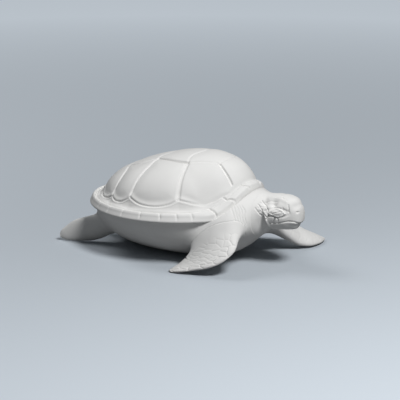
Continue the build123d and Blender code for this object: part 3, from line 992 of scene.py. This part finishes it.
def buildHead():
    rows, columns = face["rows"], face["columns"]
    place = np.linspace(0, 1, rows)
    x = neck["seam"] + (neck["reach"] - neck["seam"]) * (1 - (1 - place) ** face["tipCrowding"])
    middle, halfHeight, halfWidth = neckOval(x)
    turn = 2 * math.pi * np.arange(columns) / columns
    power = 1 - face["squareness"] * ease(face["squareFrom"], face["squareTo"], x)[:, None]
    sideways, upward = np.cos(turn)[None], np.sin(turn)[None]
    points = np.zeros((rows, columns, 3))
    points[..., 0] = x[:, None]
    points[..., 1] = halfWidth[:, None] * np.sign(sideways) * np.abs(sideways) ** power
    points[..., 2] = middle[:, None] + halfHeight[:, None] * np.sign(upward) * np.abs(upward) ** power
    points = points.reshape(-1, 3)
    quads, caps = closeGrid(points, rows, columns)
    points = points + normalsOf(points, quads) * headRelief(points)[:, None]
    chin = (1 - ease(*face["chinHeights"], points[:, 2])) * ease(*face["chinPlaces"], points[:, 0])
    points[:, 0] = np.minimum(points[:, 0] - face["chinBack"] * chin, neck["reach"])
    return makePiece("head_skin", "head_and_neck", points, quads, caps)


# Materials

bisque = {
    "color": (0.83, 0.825, 0.81),
    "shade": (0.78, 0.775, 0.76),
    "roughness": 0.62,
    "specular": 0.35,
    "mottleScale": 60.0,
    "mottleDetail": 4.0,
    "grainScale": 2600.0,
    "grainDetail": 2.0,
    "grainDepth": 0.00002,
}


def fineGrain():
    # group: faint mottling of the fired clay, and the height of its grain
    group = bpy.data.node_groups.new("Fired clay grain", "ShaderNodeTree")
    for name in ("Mottle", "Grain"):
        group.interface.new_socket(name + " scale", in_out="INPUT", socket_type="NodeSocketFloat")
        group.interface.new_socket(name, in_out="OUTPUT", socket_type="NodeSocketFloat")
    nodes, links = group.nodes, group.links
    taken, given = nodes.new("NodeGroupInput"), nodes.new("NodeGroupOutput")
    place = nodes.new("ShaderNodeTexCoord")
    for name, detail in (("Mottle", bisque["mottleDetail"]), ("Grain", bisque["grainDetail"])):
        noise = nodes.new("ShaderNodeTexNoise")
        noise.inputs["Detail"].default_value = detail
        links.new(place.outputs["Object"], noise.inputs["Vector"])
        links.new(taken.outputs[name + " scale"], noise.inputs["Scale"])
        links.new(noise.outputs["Fac"], given.inputs[name])
    return group


def makeBisque():
    material = bpy.data.materials.new("White bisque")
    material.use_nodes = True
    nodes, links = material.node_tree.nodes, material.node_tree.links
    shader = nodes["Principled BSDF"]
    grain = nodes.new("ShaderNodeGroup")
    grain.node_tree = fineGrain()
    grain.inputs["Mottle scale"].default_value = bisque["mottleScale"]
    grain.inputs["Grain scale"].default_value = bisque["grainScale"]
    tint = nodes.new("ShaderNodeMix")
    tint.data_type = "RGBA"
    tint.inputs["A"].default_value = (*bisque["shade"], 1)
    tint.inputs["B"].default_value = (*bisque["color"], 1)
    links.new(grain.outputs["Mottle"], tint.inputs["Factor"])
    links.new(tint.outputs["Result"], shader.inputs["Base Color"])
    bump = nodes.new("ShaderNodeBump")
    bump.inputs["Distance"].default_value = bisque["grainDepth"]
    links.new(grain.outputs["Grain"], bump.inputs["Height"])
    links.new(bump.outputs["Normal"], shader.inputs["Normal"])
    shader.inputs["Roughness"].default_value = bisque["roughness"]
    shader.inputs["Specular IOR Level"].default_value = bisque["specular"]
    return material


# Floor, light and camera

studio = {
    "target": (11.57, 20.81, 42.99),
    "azimuth": 32.0,
    "elevation": 15.0,
    "distance": 1500.0,
    "lens": 142.56,
    "sensorWidth": 36.0,
    "floorSize": 14.0,
    "floorColor": (0.52, 0.57, 0.62),
    "floorBounce": (0.24, 0.25, 0.26),
    "floorRoughness": 0.9,
    "fade": (0.1, 1.5),
    "fadeGlow": 0.8,
    "skyColor": (0.52, 0.57, 0.62),
    "skyLight": 0.11,
    "keyEnergy": 10.0,
    "keyPlace": (660.0, -340.0, 900.0),
    "keySize": 0.3,
    "topEnergy": 2.5,
    "topPlace": (-560.0, -40.0, 860.0),
    "topSize": 0.5,
}


def pale(name, seen, bounced):
    # a floor that looks pale but sends back less light than it shows, and fades into the backdrop far out
    material = bpy.data.materials.new(name)
    material.use_nodes = True
    nodes, links = material.node_tree.nodes, material.node_tree.links
    shader = nodes["Principled BSDF"]
    path, mix = nodes.new("ShaderNodeLightPath"), nodes.new("ShaderNodeMix")
    mix.data_type = "RGBA"
    mix.inputs["A"].default_value = (*bounced, 1)
    mix.inputs["B"].default_value = (*seen, 1)
    links.new(path.outputs["Is Camera Ray"], mix.inputs["Factor"])
    links.new(mix.outputs["Result"], shader.inputs["Base Color"])
    place, away = nodes.new("ShaderNodeNewGeometry"), nodes.new("ShaderNodeVectorMath")
    away.operation = "LENGTH"
    fade = nodes.new("ShaderNodeMapRange")
    fade.inputs["From Min"].default_value, fade.inputs["From Max"].default_value = studio["fade"]
    fade.inputs["To Max"].default_value = studio["fadeGlow"]
    glow = nodes.new("ShaderNodeMath")
    glow.operation = "MULTIPLY"
    links.new(place.outputs["Position"], away.inputs[0])
    links.new(away.outputs["Value"], fade.inputs["Value"])
    links.new(fade.outputs["Result"], glow.inputs[0])
    links.new(path.outputs["Is Camera Ray"], glow.inputs[1])
    links.new(glow.outputs[0], shader.inputs["Emission Strength"])
    shader.inputs["Emission Color"].default_value = (*seen, 1)
    shader.inputs["Roughness"].default_value = studio["floorRoughness"]
    return material


def buildStudio():
    bpy.ops.mesh.primitive_plane_add(size=studio["floorSize"])
    floor = bpy.context.object
    floor.name = "studio_floor"
    floor.data.materials.append(pale("Pale floor", studio["floorColor"], studio["floorBounce"]))
    floor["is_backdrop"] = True
    target = Vector(studio["target"]) * mm
    turn, tilt = math.radians(studio["azimuth"]), math.radians(studio["elevation"])
    back = Vector((math.sin(turn) * math.cos(tilt), -math.cos(turn) * math.cos(tilt), math.sin(tilt)))
    camera = bpy.data.objects.new("Camera", bpy.data.cameras.new("Camera"))
    camera.data.lens, camera.data.sensor_width = studio["lens"], studio["sensorWidth"]
    camera.location = target + back * studio["distance"] * mm
    camera.rotation_euler = back.to_track_quat("Z", "Y").to_euler()
    bpy.context.collection.objects.link(camera)
    bpy.context.scene.camera = camera
    for name in ("key", "top"):
        lamp = bpy.data.objects.new(name, bpy.data.lights.new(name, "AREA"))
        lamp.data.shape, lamp.data.size = "DISK", studio[name + "Size"]
        lamp.data.energy = studio[name + "Energy"]
        lamp.location = Vector(studio[name + "Place"]) * mm
        lamp.rotation_euler = (lamp.location - target).to_track_quat("Z", "Y").to_euler()
        bpy.context.collection.objects.link(lamp)
    world = bpy.data.worlds.new("Studio")
    world.use_nodes = True
    nodes, links = world.node_tree.nodes, world.node_tree.links
    path, mix = nodes.new("ShaderNodeLightPath"), nodes.new("ShaderNodeMix")
    mix.inputs["A"].default_value, mix.inputs["B"].default_value = studio["skyLight"], 1.0
    links.new(path.outputs["Is Camera Ray"], mix.inputs["Factor"])
    links.new(mix.outputs["Result"], nodes["Background"].inputs["Strength"])
    nodes["Background"].inputs["Color"].default_value = (*studio["skyColor"], 1)
    bpy.context.scene.world = world
    bpy.context.scene.view_settings.view_transform = "Standard"
    print("studio ready")


buildStudio()
white = makeBisque()
buildCarapace()
buildHead()
skin, skinQuads, skinCaps = bodySkin()
neighbours = [buildLimb(name, (skin, skinQuads)) for name in limbs] + [buildTail((skin, skinQuads))]
buildBody(skin, skinQuads, skinCaps, neighbours)
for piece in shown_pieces():
    piece.data.materials.clear()
    piece.data.materials.append(white)
